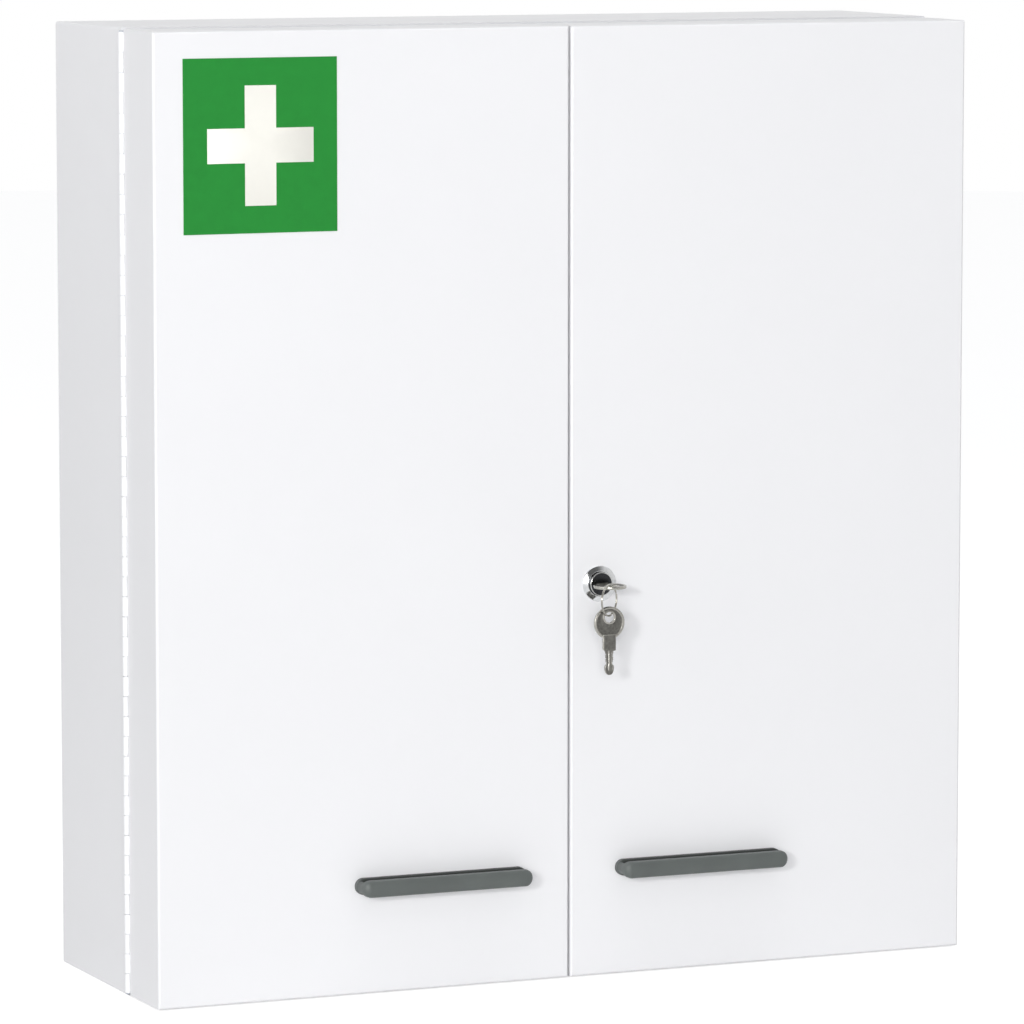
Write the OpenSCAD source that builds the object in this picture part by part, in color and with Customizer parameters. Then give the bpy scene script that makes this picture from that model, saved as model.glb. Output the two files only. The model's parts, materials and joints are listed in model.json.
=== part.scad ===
// Lockable medicine cabinet: a folded sheet-steel body and two deep tray doors on
// continuous hinges, closed by a hook cam lock with two keys on a ring.
// Origin: centre of the back face. X to the right, -Y towards the front, Z up.

/* [Cabinet] */
// Width over the body's side walls
cabinet_w = 550; // [450:10:650]
// Height of the body
cabinet_h = 600; // [560:10:700]
// Depth of the body behind the doors
body_d = 121.5; // [110:0.5:160]
// Thickness of the folded steel sheet
sheet = 1; // [0.8:0.1:1.2]
// Outer radius of the folds
fold_r = 1.5; // [1.3:0.1:2]
// Width of the body's front return flange
front_flange = 14; // [13:0.5:18]

/* [Doors] */
// Depth of the door trays
door_d = 51.5; // [45:0.5:70]
// Gap between the body and the doors, where the hinges sit
door_gap = 5; // [5:0.1:6]
// Gap between the two doors
meeting_gap = 1.4; // [1:0.1:3]
// How much shorter than the body a door is, at the top and at the bottom
door_inset = 1; // [0.6:0.1:2]
// Width of the doors' rear return flange
door_flange = 12; // [10:0.5:16]

/* [Shelves] */
// Height of the upper body shelf above the middle of the cabinet
upper_shelf_z = 100; // [60:5:130]
// Height of the lower body shelf
lower_shelf_z = -100; // [-130:5:-60]
// Height of the upper door shelf
door_upper_z = 90; // [60:5:150]
// Height of the lower door shelf
door_lower_z = -110; // [-130:5:-100]
// Height of the retaining lip on a door shelf
door_lip = 25; // [15:1:40]

/* [Hinges] */
// Length of one knuckle and its gap
knuckle_pitch = 12.4; // [10:0.1:15]
// Outer radius of the knuckles
knuckle_r = 2.2; // [2.1:0.05:2.3]
// Radius of the hinge pin
pin_r = 1.2; // [1:0.05:1.3]
// Number of rivets in each leaf
rivets = 6; // [4:1:8]

/* [Lock] */
// Distance of the lock to the right of the doors' meeting line
lock_x = 20; // [18:0.5:24]
// Height of the lock
lock_z = -50; // [-60:1:-40]
// Radius of the lock's flange
lock_flange_r = 11.35; // [10.5:0.05:12]
// Distance of the key's bow centre in front of the doors
bow_reach = 17; // [16:0.5:18]

/* [Keys] */
// Length of a key
key_len = 43; // [42:0.5:44]
// Radius of a key's bow
bow_r = 10.25; // [9.5:0.05:10.5]
// Thickness of a key
key_t = 1.9; // [1.8:0.1:2]
// Mean radius of the key ring
ring_r = 9.8; // [9.7:0.1:10]
// Radius of the key ring's wire
ring_wire_r = 0.6; // [0.5:0.05:0.65]

/* [Handles] */
// Length of a handle
handle_len = 114.8; // [104:0.4:130]
// Height of a handle
handle_h = 10.4; // [9:0.1:14]
// How far a handle stands out of the door
handle_out = 17; // [15:0.5:20]
// Distance of a handle's middle from the meeting line
handle_x = 88.4; // [70:0.2:110]
// Height of the handles
handle_z = -231; // [-250:1:-180]

/* [Sign] */
// Width of the first-aid sign
sign_w = 100; // [60:1:120]
// Height of the first-aid sign
sign_h = 106.6; // [60:0.2:130]
// Distance of the sign from the door's outer edge
sign_side = 19.2; // [10:0.2:40]
// Distance of the sign from the top of the door
sign_top = 16.3; // [10:0.1:40]

/* [Hidden] */
$fn = 64;

// Colours
powder_white = [0.93, 0.93, 0.94];
zinc = [0.72, 0.73, 0.75];
chrome = [0.80, 0.81, 0.83];
nickel = [0.66, 0.65, 0.62];
dark_grey = [0.30, 0.32, 0.31];
black = [0.10, 0.10, 0.11];
green = [0.10, 0.55, 0.22];
rubber_grey = [0.55, 0.56, 0.57];

// Main planes
half_w = cabinet_w / 2;
half_h = cabinet_h / 2;
body_front = -body_d;
door_back = body_front - door_gap;
door_front = door_back - door_d;
door_in = meeting_gap / 2;
door_half_h = half_h - door_inset;
touch = 0.01;

// Small fits
rivet_hole_r = 1.6;
rivet_shank_r = 1.5;
rivet_head_r = 2.6;
rivet_head_t = 0.8;

// ---------------------------------------------------------------- shared shapes

// Box between two opposite corners
module block(low, high) {
    translate(low) cube(high - low);
}

// Flat outline in X and Z, given thickness between two depths
module slab(y_front, y_back) {
    translate([0, y_back, 0]) rotate([90, 0, 0]) linear_extrude(y_back - y_front) children();
}

// Rod along Y
module rod(x, z, y_front, y_back, r) {
    translate([x, y_back, z]) rotate([90, 0, 0]) cylinder(h = y_back - y_front, r = r);
}

// Flat rectangular frame
module frame(w, h, t) {
    difference() {
        square([w, h], center = true);
        square([w - 2 * t, h - 2 * t], center = true);
    }
}

// Rectangle with round corners
module soft_square(w, h, r) {
    square([w - 2 * r, h], center = true);
    square([w, h - 2 * r], center = true);
    for (x = [-1, 1], z = [-1, 1]) translate([x * (w / 2 - r), z * (h / 2 - r)]) circle(r);
}

// The right side is the mirror image of the left
module right_side() {
    mirror([1, 0, 0]) children();
}

// Dome-headed rivet through a stack that lies between two depths
module rivet(x, z, y_front, y_back) {
    rod(x, z, y_front - touch, y_back + touch, rivet_shank_r);
    for (end = [[y_front, 1], [y_back, -1]])
        translate([x, end[0], z]) rotate([90 * end[1], 0, 0]) rivet_head();
}

// Low dome, turned from a slice of a sphere
module rivet_head() {
    dome_r = (rivet_head_r * rivet_head_r + rivet_head_t * rivet_head_t) / (2 * rivet_head_t);
    rotate_extrude() intersection() {
        square([rivet_head_r, rivet_head_t]);
        translate([0, rivet_head_t - dome_r]) circle(dome_r);
    }
}

// ---------------------------------------------------------------- body

// Wrap of sheet with its front edge returned inwards and hemmed backwards
hem = 8;
wall_hole_x = 225;
wall_hole_z = 250;
wall_hole_r = 4;
back_flange = 10;

module body_shell() {
    color(powder_white) difference() {
        union() {
            slab(body_front, 0) difference() {
                soft_square(cabinet_w, cabinet_h, fold_r);
                square([cabinet_w - 2 * sheet, cabinet_h - 2 * sheet], center = true);
            }
            slab(body_front, body_front + sheet) difference() {
                soft_square(cabinet_w, cabinet_h, fold_r);
                square([cabinet_w - 2 * front_flange, cabinet_h - 2 * front_flange], center = true);
            }
            slab(body_front, body_front + hem)
                frame(cabinet_w - 2 * front_flange + 2 * sheet,
                      cabinet_h - 2 * front_flange + 2 * sheet, sheet);
        }
        for (s = [-1, 1]) leaf_holes(s, body_front - touch, body_front + sheet + touch);
    }
}

// Back sheet with its edges turned forwards and welded inside the wrap
module back_panel() {
    w = cabinet_w - 2 * sheet;
    h = cabinet_h - 2 * sheet;
    color(powder_white) difference() {
        union() {
            slab(-sheet, 0) square([w, h], center = true);
            slab(-sheet - back_flange, 0) frame(w, h, sheet);
        }
        for (x = [-1, 1], z = [-1, 1])
            rod(x * wall_hole_x, z * wall_hole_z, -2 * sheet, touch, wall_hole_r);
    }
}

// Loose shelf: four edges folded down, the front one deeper and hemmed
shelf_front_drop = 20;
shelf_hem = 9;
shelf_drop = 12;
shelf_corner = [14, 4];
shelf_half_w = half_w - sheet - 1.5;
shelf_front = body_front + hem + 1.5;
shelf_back = -sheet - 0.5;

module body_shelf(z) {
    color(powder_white) {
        block([-shelf_half_w, shelf_front, z - sheet], [shelf_half_w, shelf_back, z]);
        block([-shelf_half_w, shelf_front, z - shelf_front_drop],
              [shelf_half_w, shelf_front + sheet, z]);
        block([-shelf_half_w, shelf_front, z - shelf_front_drop],
              [shelf_half_w, shelf_front + shelf_hem, z - shelf_front_drop + sheet]);
        block([-shelf_half_w + back_flange, shelf_back - sheet, z - shelf_drop],
              [shelf_half_w - back_flange, shelf_back, z]);
        for (s = [-1, 1]) scale([s, 1, 1])
            block([shelf_half_w - sheet, shelf_front + shelf_corner[0], z - shelf_drop],
                  [shelf_half_w, shelf_back - shelf_corner[1], z]);
    }
}

module upper_shelf() {
    body_shelf(upper_shelf_z);
}

module lower_shelf() {
    body_shelf(lower_shelf_z);
}

// Angle clips riveted to the side walls: the shelves' side folds rest on them
clip_w = 14;
clip_tab = 9;
clip_t = 1.5;
clip_h = 16;
clip_rivet_z = 10;
clip_rows = [-30, -92];

module clip(y, z) {
    x = half_w - sheet;
    block([x - clip_tab, y - clip_w / 2, z - clip_t], [x, y + clip_w / 2, z]);
    difference() {
        block([x - clip_t, y - clip_w / 2, z - clip_h], [x, y + clip_w / 2, z]);
        translate([x - clip_t - touch, y, z - clip_rivet_z]) rotate([0, 90, 0])
            cylinder(h = clip_t + 2 * touch, r = rivet_hole_r);
    }
    translate([x - clip_t, y, z - clip_rivet_z]) rotate([0, -90, 0]) rivet_head();
}

module shelf_clips() {
    color(zinc) for (s = [-1, 1]) scale([s, 1, 1])
        for (y = clip_rows, z = [upper_shelf_z, lower_shelf_z]) clip(y, z - shelf_drop);
}

// ---------------------------------------------------------------- continuous hinges

// The axis stands a little outside the body's side, in the middle of the door gap
axis_x = half_w + 0.5;
axis_y = body_front - door_gap / 2;
pin_end = 0.8;
knuckles = floor((2 * door_half_h - 2 * pin_end - 0.9) / knuckle_pitch);
hinge_len = knuckles * knuckle_pitch;
knuckle_gap = 0.3;
leaf_t = 1;
leaf_edge = half_w - 13;
leaf_notch = axis_x - 3;
pin_clear = 0.05;
rivet_x = half_w - 8;
rivet_end = 20;
rivet_pitch = (hinge_len - 2 * rivet_end) / (rivets - 1);

function rivet_z(i) = -(rivets - 1) * rivet_pitch / 2 + i * rivet_pitch;

// Rivet holes of one leaf (side -1 left, 1 right)
module leaf_holes(side, y_front, y_back) {
    for (i = [0 : rivets - 1]) rod(side * rivet_x, rivet_z(i), y_front, y_back, rivet_hole_r);
}

// One rolled leaf on the left side: knuckles alternate between the two leaves
module hinge_leaf(y_low, first) {
    difference() {
        union() {
            block([-leaf_notch, y_low, -hinge_len / 2], [-leaf_edge, y_low + leaf_t, hinge_len / 2]);
            for (i = [first : 2 : knuckles - 1]) translate([0, 0, -hinge_len / 2 + i * knuckle_pitch]) {
                block([-axis_x, y_low, knuckle_gap / 2],
                      [-leaf_notch + touch, y_low + leaf_t, knuckle_pitch - knuckle_gap / 2]);
                translate([-axis_x, axis_y, knuckle_gap / 2])
                    cylinder(h = knuckle_pitch - knuckle_gap, r = knuckle_r);
            }
        }
        translate([-axis_x, axis_y, -hinge_len / 2 - 1]) cylinder(h = hinge_len + 2, r = pin_r + pin_clear);
        leaf_holes(-1, y_low - touch, y_low + leaf_t + touch);
    }
}

module left_hinge_body_leaf() {
    color(powder_white) hinge_leaf(body_front - leaf_t, 0);
}

module right_hinge_body_leaf() {
    right_side() left_hinge_body_leaf();
}

module left_hinge_door_leaf() {
    color(powder_white) hinge_leaf(door_back, 1);
}

module right_hinge_door_leaf() {
    right_side() left_hinge_door_leaf();
}

// Pin with both ends peened over the last knuckles
module left_hinge_pin() {
    color(zinc) translate([-axis_x, axis_y, 0]) {
        translate([0, 0, -hinge_len / 2]) cylinder(h = hinge_len, r = pin_r);
        for (s = [-1, 1]) scale([1, 1, s]) translate([0, 0, hinge_len / 2])
            cylinder(h = pin_end, r1 = pin_r + 0.6, r2 = pin_r + 0.1);
    }
}

module right_hinge_pin() {
    right_side() left_hinge_pin();
}

module body_hinge_rivets() {
    color(zinc) for (s = [-1, 1], i = [0 : rivets - 1])
        rivet(s * rivet_x, rivet_z(i), body_front - leaf_t, body_front + sheet);
}

module left_hinge_rivets() {
    color(zinc) for (i = [0 : rivets - 1])
        rivet(-rivet_x, rivet_z(i), door_back - sheet, door_back + leaf_t);
}

module right_hinge_rivets() {
    right_side() left_hinge_rivets();
}

// ---------------------------------------------------------------- catches and bumpers

// Twin magnet housings behind the front flange, top and bottom
catch_half_w = 32;
catch_h = 15;
catch_face = door_back + 1.7;
catch_back = body_front + 17;
catch_z = half_h - front_flange;
pole_x = [12, 22];
pole_t = 2;
pole_len = 12;
pole_out = 0.3;
pole_play = 0.1;
pole_end = 2;
catch_screw_x = 28;
catch_screw_y = catch_face + 12;
catch_screw_r = 1.6;
slot_w = 0.8;

module at_both_ends() {
    for (s = [-1, 1]) scale([1, 1, s]) children();
}

module catch_housings() {
    color(powder_white) at_both_ends() difference() {
        block([-catch_half_w, catch_face, catch_z - catch_h], [catch_half_w, catch_back, catch_z]);
        for (s = [-1, 1], x = pole_x)
            block([s * x - pole_t / 2 - pole_play, catch_face - 1, catch_z - catch_h + pole_end],
                  [s * x + pole_t / 2 + pole_play, catch_face + pole_len, catch_z - pole_end]);
        for (s = [-1, 1]) translate([s * catch_screw_x, catch_screw_y, catch_z - catch_h - touch])
            cylinder(h = catch_h + 1, r = catch_screw_r + 0.2);
    }
}

module catch_pole_plates() {
    color(zinc) at_both_ends() for (s = [-1, 1], x = pole_x)
        block([s * x - pole_t / 2, catch_face - pole_out, catch_z - catch_h + pole_end + 2 * pole_play],
              [s * x + pole_t / 2, catch_face + pole_len - 2 * pole_play,
               catch_z - pole_end - 2 * pole_play]);
}

// Pan-head screws up into the hem
module catch_screws() {
    color(zinc) at_both_ends() for (s = [-1, 1])
        translate([s * catch_screw_x, catch_screw_y, catch_z - catch_h]) {
            difference() {
                translate([0, 0, -2]) cylinder(h = 2, r = 3);
                translate([-slot_w / 2, -4, -2 - touch]) cube([slot_w, 8, 0.9]);
            }
            cylinder(h = catch_h - 0.5, r = catch_screw_r);
        }
}

// Rubber buttons between the body's flange and the doors
bumper_x = 60;
bumper_clear = 0.2;

module door_bumpers() {
    color(rubber_grey) for (x = [-1, 1], z = [-1, 1])
        translate([x * bumper_x, body_front, z * (half_h - front_flange / 2)]) rotate([90, 0, 0])
            cylinder(h = door_gap - bumper_clear, r1 = 4.5, r2 = 3.5);
}

// ---------------------------------------------------------------- doors

// Profile of a folded tray: a rectangle whose two front corners are round
module tray_profile(w, d, r) {
    translate([-w / 2, -d]) {
        translate([0, r]) square([w, d - r]);
        translate([r, 0]) square([w - 2 * r, d]);
        for (x = [r, w - r]) translate([x, r]) circle(r);
    }
}

// Solid tray: the two profiles cross, so all four front edges are folded round
module tray_block(w, h, d, r) {
    intersection() {
        translate([0, 0, -h / 2]) linear_extrude(h) tray_profile(w, d, r);
        rotate([0, 90, 0]) translate([0, 0, -w / 2]) linear_extrude(w) tray_profile(h, d, r);
    }
}

door_w = half_w - door_in;
door_mid = -(half_w + door_in) / 2;
handle_pitch = 96;
screw_r = 1.9;

// Slot in the meeting edges, through which the cam swings
slot_low = lock_z - 29;
slot_high = lock_z + 5.5;
slot_front = door_front + 18.8;
slot_back = door_front + 24.3;

// Empty left tray with its rear return flange
module door_tray() {
    translate([door_mid, door_back, 0]) difference() {
        tray_block(door_w, 2 * door_half_h, door_d, fold_r);
        difference() {
            translate([0, touch, 0])
                tray_block(door_w - 2 * sheet, 2 * (door_half_h - sheet), door_d - sheet + touch,
                           fold_r - sheet);
            slab(-sheet, 1) frame(door_w, 2 * door_half_h, door_flange);
        }
    }
}

module door_shell() {
    difference() {
        door_tray();
        block([-door_in - 2 * sheet, slot_front, slot_low], [1, slot_back, slot_high]);
        for (x = [-1, 1]) rod(-handle_x + x * handle_pitch / 2, handle_z,
                              door_front - 1, door_front + sheet + 1, screw_r + 0.3);
        leaf_holes(-1, door_back - sheet - 1, door_back + 1);
        strike_holes();
    }
}

module left_door_shell() {
    color(powder_white) door_shell();
}

// Hole for the lock with two flats, which keep the lock from turning
lock_body_r = 9.5;
lock_flats = 16;

module double_d(r, flats) {
    intersection() {
        circle(r);
        square([flats, 3 * r], center = true);
    }
}

module right_door_shell() {
    color(powder_white) difference() {
        right_side() door_shell();
        translate([lock_x, 0, lock_z]) slab(door_front - 1, door_front + sheet + 1)
            double_d(lock_body_r + 0.2, lock_flats + 0.4);
    }
}

// Door shelf: floor, weld flange against the front sheet, retaining lip and end tabs
lip_back = door_back - 2;
door_shelf_tab = 12;

module door_shelf(z) {
    inner = half_w - sheet;
    outer_front = door_front + sheet;
    color(powder_white) {
        block([-inner, outer_front + sheet, z - sheet], [-door_in - sheet, lip_back, z]);
        block([-inner + sheet, outer_front, z - door_shelf_tab],
              [-door_in - 2 * sheet, outer_front + sheet + touch, z]);
        block([-inner, lip_back - sheet, z - sheet], [-door_in - sheet, lip_back, z + door_lip - 1]);
        translate([0, lip_back - sheet, z + door_lip - 1]) rotate([0, -90, 0])
            translate([0, 0, door_in + sheet]) cylinder(h = inner - door_in - sheet, r = sheet);
        for (x = [-inner, -door_in - 2 * sheet])
            block([x, outer_front + 3, z - door_shelf_tab], [x + sheet, lip_back - 3, z]);
    }
}

module left_door_upper_shelf() {
    door_shelf(door_upper_z);
}

module left_door_lower_shelf() {
    door_shelf(door_lower_z);
}

module right_door_upper_shelf() {
    right_side() door_shelf(door_upper_z);
}

module right_door_lower_shelf() {
    right_side() door_shelf(door_lower_z);
}

// Rail that keeps things on the floor of the tray
rail_h = 32;
rail_foot = 12;

module left_door_bottom_rail() {
    low = -door_half_h + sheet;
    inner = half_w - sheet;
    color(powder_white) {
        block([-inner, lip_back - rail_foot, low], [-door_in - sheet, lip_back, low + sheet]);
        block([-inner, lip_back - sheet, low], [-door_in - sheet, lip_back, low + rail_h - 1]);
        translate([0, lip_back - sheet, low + rail_h - 1]) rotate([0, -90, 0])
            translate([0, 0, door_in + sheet]) cylinder(h = inner - door_in - sheet, r = sheet);
    }
}

module right_door_bottom_rail() {
    right_side() left_door_bottom_rail();
}

// Steel plates on the rear flange, which the magnets hold
strike_x = [5, 31];
strike_t = 1.2;
strike_rivet_x = [11, 25];
strike_rivet_z = door_half_h - door_flange / 2;

module strike_holes() {
    at_both_ends() for (x = strike_rivet_x)
        rod(-x, strike_rivet_z, door_back - 2 * sheet, door_back + 2 * strike_t, rivet_hole_r);
}

module left_strike_plates() {
    color(zinc) {
        difference() {
            at_both_ends() block([-strike_x[1], door_back, catch_z - catch_h + 1],
                                 [-strike_x[0], door_back + strike_t, door_half_h - 1.5]);
            strike_holes();
        }
        at_both_ends() for (x = strike_rivet_x)
            rivet(-x, strike_rivet_z, door_back - sheet, door_back + strike_t);
    }
}

module right_strike_plates() {
    right_side() left_strike_plates();
}

// Sign plate glued to the left door
sign_t = 0.4;

module sign_panel() {
    left = -half_w + sign_side;
    top = door_half_h - sign_top;
    color(green) block([left, door_front - sign_t, top - sign_h], [left + sign_w, door_front, top]);
}

// ---------------------------------------------------------------- handles

// Half section of a handle, from its middle line outwards and from the door forwards:
// a foot, a narrow waist and a crowned front bar
foot_t = 4;
waist_r = handle_h / 2 - 2.8;
bar_back = 11;
crown = 1.6;

module handle_half_section() {
    r = handle_h / 2;
    crown_r = (r * r + crown * crown) / (2 * crown);
    polygon([[0, 0], [r, 0], [r, foot_t - 0.8], [r - 0.6, foot_t], [waist_r, foot_t + 0.4],
             [waist_r, bar_back - 0.4], [r - 0.6, bar_back], [r, bar_back + 0.8],
             [r, handle_out - crown], [0, handle_out - crown]]);
    intersection() {
        translate([0, handle_out - crown - touch]) square([r, crown + touch]);
        translate([0, handle_out - crown_r]) circle(crown_r);
    }
}

// The section runs straight along X and turns half round at both ends
module handle() {
    straight = handle_len - handle_h;
    difference() {
        union() {
            rotate([90, 0, 90]) translate([0, 0, -straight / 2]) linear_extrude(straight) {
                rotate(90) handle_half_section();
                mirror([0, 1, 0]) rotate(90) handle_half_section();
            }
            for (s = [-1, 1]) translate([s * straight / 2, 0, 0]) rotate([90, 0, 0])
                rotate_extrude() handle_half_section();
        }
        for (s = [-1, 1]) rod(s * handle_pitch / 2, 0, -10, 1, screw_r + touch);
    }
}

module left_handle() {
    color(dark_grey) translate([-handle_x, door_front, handle_z]) handle();
}

module right_handle() {
    right_side() left_handle();
}

// Pan-head screws from inside the door
screw_head_r = 4;
screw_head_t = 2.4;
screw_len = 9.5;
recess_l = 4.4;
recess_w = 0.8;
recess_depth = 1.2;

// Cross recess, sunk to both sides of the origin along Y
module cross_recess() {
    for (a = [0, 90]) rotate([0, a, 0]) cube([recess_l, 2 * recess_depth, recess_w], center = true);
}

module left_handle_screws() {
    color(zinc) for (s = [-1, 1])
        translate([-handle_x + s * handle_pitch / 2, door_front + sheet, handle_z]) {
            rod(0, 0, -screw_len, touch, screw_r);
            difference() {
                rod(0, 0, 0, screw_head_t, screw_head_r);
                translate([0, screw_head_t, 0]) cross_recess();
            }
        }
}

module right_handle_screws() {
    right_side() left_handle_screws();
}

// ---------------------------------------------------------------- lock

// Places a shape on the lock's axis: its own Z points out of the door
module on_lock() {
    translate([lock_x, door_front, lock_z]) rotate([90, 0, 0]) children();
}

plug_head_r = 7.6;
plug_r = 6.5;
plug_clear = 0.06;
plug_face = 4;
plug_step = 1.1;
plug_edge = 0.5;
lock_rim = 2;
lock_rim_w = 0.7;
lock_body_len = 20;
plug_end = 0.3;
tenon = 7;
cam_t = 2.5;
cam_washer_t = 0.8;
cam_screw_r = 1.9;
cam_screw_head = 2.6;
nut_t = 4.5;

// Bevelled flange, a stepped bore and a barrel with two flats
module lock_housing() {
    color(chrome) on_lock() difference() {
        union() {
            rotate_extrude() polygon([
                [0, 0], [lock_flange_r, 0], [lock_flange_r, 0.7], [lock_flange_r - 0.35, 1],
                [plug_head_r + lock_rim_w, lock_rim], [0, lock_rim]
            ]);
            translate([0, 0, -lock_body_len]) linear_extrude(lock_body_len + touch)
                double_d(lock_body_r, lock_flats);
        }
        translate([0, 0, -lock_body_len - 1]) cylinder(h = lock_body_len + 6, r = plug_r + plug_clear);
        translate([0, 0, plug_step - 0.2]) cylinder(h = 5, r = plug_head_r + plug_clear);
    }
}

// Dished spring washer between the door's sheet and the nut
module lock_washer() {
    color(zinc) on_lock() translate([0, 0, -sheet - 1]) difference() {
        cylinder(h = 1, r = 12.5);
        translate([0, 0, -1]) cylinder(h = 3, r = lock_body_r + 0.1);
        for (a = [0 : 30 : 330]) rotate(a) translate([11.6, -0.4, -1]) cube([2, 0.8, 3]);
    }
}

// Hexagon nut
module lock_nut() {
    color(chrome) on_lock() translate([0, 0, -sheet - 1 - nut_t]) difference() {
        cylinder(h = nut_t, r = 12.8, $fn = 6);
        translate([0, 0, -1]) cylinder(h = 7, r = lock_body_r + 0.05);
    }
}

// Head that stands out of the flange, with a rounded edge
module plug_head() {
    rotate_extrude() {
        translate([0, plug_step]) square([plug_head_r - plug_edge, plug_face - plug_step]);
        translate([0, plug_step]) square([plug_head_r, plug_face - plug_step - plug_edge]);
        translate([plug_head_r - plug_edge, plug_face - plug_edge]) circle(plug_edge);
    }
}

// Keyway: wide for the key's neck, then narrow for its blade
neck_w = 8.6;
bulb_w = 6;
key_play = 0.2;
neck_depth = 7.8;
keyway_depth = 20.8;

module lock_plug() {
    color(black) on_lock() difference() {
        union() {
            plug_head();
            translate([0, 0, -lock_body_len - plug_end]) cylinder(h = lock_body_len + 3, r = plug_r);
            translate([-tenon / 2, -tenon / 2, -lock_body_len - 2.6]) cube([tenon, tenon, 4]);
        }
        translate([0, 0, plug_face - neck_depth]) linear_extrude(neck_depth + 1)
            square([neck_w + 2 * key_play, key_t + 2 * key_play], center = true);
        translate([0, 0, plug_face - keyway_depth]) linear_extrude(keyway_depth)
            square([bulb_w + 2 * key_play, key_t + 2 * key_play], center = true);
        translate([0, 0, -lock_body_len - 3]) cylinder(h = 5, r = cam_screw_r + 0.05);
    }
}

// Cam with a hook, which turns up behind the left door's edge. At rest it hangs down.
cam_hub_r = 8;
cam_arm = 8;
cam_reach = 31;
hook_face = lock_x + door_in + sheet + 2.6;
hook_rise = 10;

module lock_cam() {
    color(zinc) on_lock() translate([0, 0, -lock_body_len - plug_end - cam_t]) linear_extrude(cam_t)
        difference() {
            rotate(90) union() {
                circle(cam_hub_r);
                translate([-hook_face - 2, -cam_arm / 2]) square([hook_face + 2, cam_arm]);
                translate([-cam_reach, -cam_arm / 2 + 2]) square([cam_reach - hook_face, cam_arm - 2]);
                translate([-cam_reach + 2, -cam_arm / 2]) square([cam_reach - hook_face, cam_arm]);
                translate([-cam_reach + 2, -cam_arm / 2 + 2]) circle(2);
                translate([-cam_reach + 2, 0]) square([cam_reach - hook_face - 2, hook_rise]);
                translate([-cam_reach, 0]) square([cam_reach - hook_face, hook_rise - 2]);
                translate([-cam_reach + 2, hook_rise - 2]) circle(2);
            }
            square(tenon + 0.1, center = true);
        }
}

module cam_washer() {
    color(zinc) on_lock() translate([0, 0, -lock_body_len - plug_end - cam_t - cam_washer_t]) difference() {
        cylinder(h = cam_washer_t, r = 6);
        translate([0, 0, -1]) cylinder(h = 3, r = 2);
    }
}

module cam_screw() {
    color(zinc) on_lock() translate([0, 0, -lock_body_len - plug_end - cam_t - cam_washer_t]) {
        cylinder(h = 4.2, r = cam_screw_r);
        difference() {
            translate([0, 0, -cam_screw_head]) cylinder(h = cam_screw_head, r = 3.8);
            translate([0, 0, -cam_screw_head]) rotate([90, 0, 0]) cross_recess();
        }
    }
}

// Reinforcement round the slot inside the left door, where the hook pulls
module lock_keeper() {
    x = -door_in - sheet;
    color(zinc) difference() {
        block([x - 1.5, slot_front - 6, slot_low - 12], [x, slot_back + 6, slot_high + 12]);
        block([x - 2, slot_front, slot_low], [x + 1, slot_back, slot_high]);
        for (z = [slot_low - 7, slot_high + 7])
            translate([x - 2, (slot_front + slot_back) / 2, z]) rotate([0, 90, 0])
                cylinder(h = 4, r = rivet_hole_r);
    }
}

// ---------------------------------------------------------------- keys

hole_r = 3.3;
hole_y = -3.5;
bow_rim = 1.5;
bow_recess = 0.35;
hole_rim = 1.2;
neck_start = 7.3;
slope_y = [15.8, 18.9];
step_y = 17.3;
blade_w = 5.2;
waist_y = 24.9;
waist_w = 3.6;
bulb_y = 28.5;
bulb_r = 5.7;
tip_r = 3.6;
tip_y = key_len - bow_r;
groove_x = [-1, 0.2];
cut_depths = [0.45, 0.7, 0.35, 0.6];
cut_pitch = 1.35;

// Key lying flat: the bow's centre at the origin, the blade along +Y
module key() {
    difference() {
        linear_extrude(key_t, center = true) difference() {
            union() {
                circle(bow_r);
                neck_and_blade();
                key_bulb();
            }
            translate([0, hole_y]) circle(hole_r);
            for (i = [0 : len(cut_depths) - 1], s = [-1, 1]) key_cut(i, s);
        }
        for (s = [-1, 1]) scale([1, 1, s]) translate([0, 0, key_t / 2 - bow_recess]) linear_extrude(1) {
            bow_face();
            translate([groove_x[0], slope_y[1] - 1])
                square([groove_x[1] - groove_x[0], bulb_y + 1 - slope_y[1]]);
        }
    }
}

// Neck with a sloped and a square shoulder, and a blade that narrows to a waist
module neck_and_blade() {
    polygon([
        [-neck_w / 2, 0], [neck_w / 2, 0], [neck_w / 2, step_y], [blade_w / 2, step_y + 0.4],
        [blade_w / 2, waist_y - 0.9], [waist_w / 2, waist_y], [waist_w / 2, bulb_y],
        [-waist_w / 2, bulb_y], [-waist_w / 2, waist_y], [-blade_w / 2, waist_y - 0.9],
        [-blade_w / 2, slope_y[1]], [-neck_w / 2, slope_y[0]]
    ]);
}

// Leaf-shaped end of the blade with a round tip
module key_bulb() {
    intersection() {
        translate([bulb_r - bulb_w / 2, bulb_y]) circle(bulb_r);
        translate([bulb_w / 2 - bulb_r, bulb_y]) circle(bulb_r);
        translate([0, tip_y - tip_r]) circle(tip_r);
    }
}

// Pressed face of the bow, between its rim, the hole's rim and the neck
module bow_face() {
    difference() {
        circle(bow_r - bow_rim);
        translate([0, hole_y]) circle(hole_r + hole_rim);
        translate([-bow_r, neck_start]) square([2 * bow_r, bow_r]);
    }
}

// One V cut in an edge of the blade; the other edge has the cuts in the opposite order
module key_cut(i, s) {
    depth = cut_depths[s > 0 ? i : len(cut_depths) - 1 - i];
    translate([s * blade_w / 2, slope_y[1] + 0.8 + i * cut_pitch])
        polygon([[s, -1], [-s * depth, -0.2], [-s * depth, 0.2], [s, 1]]);
}

bow_y = door_front - bow_reach;

module inserted_key() {
    color(nickel) translate([lock_x, bow_y, lock_z]) key();
}

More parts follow.
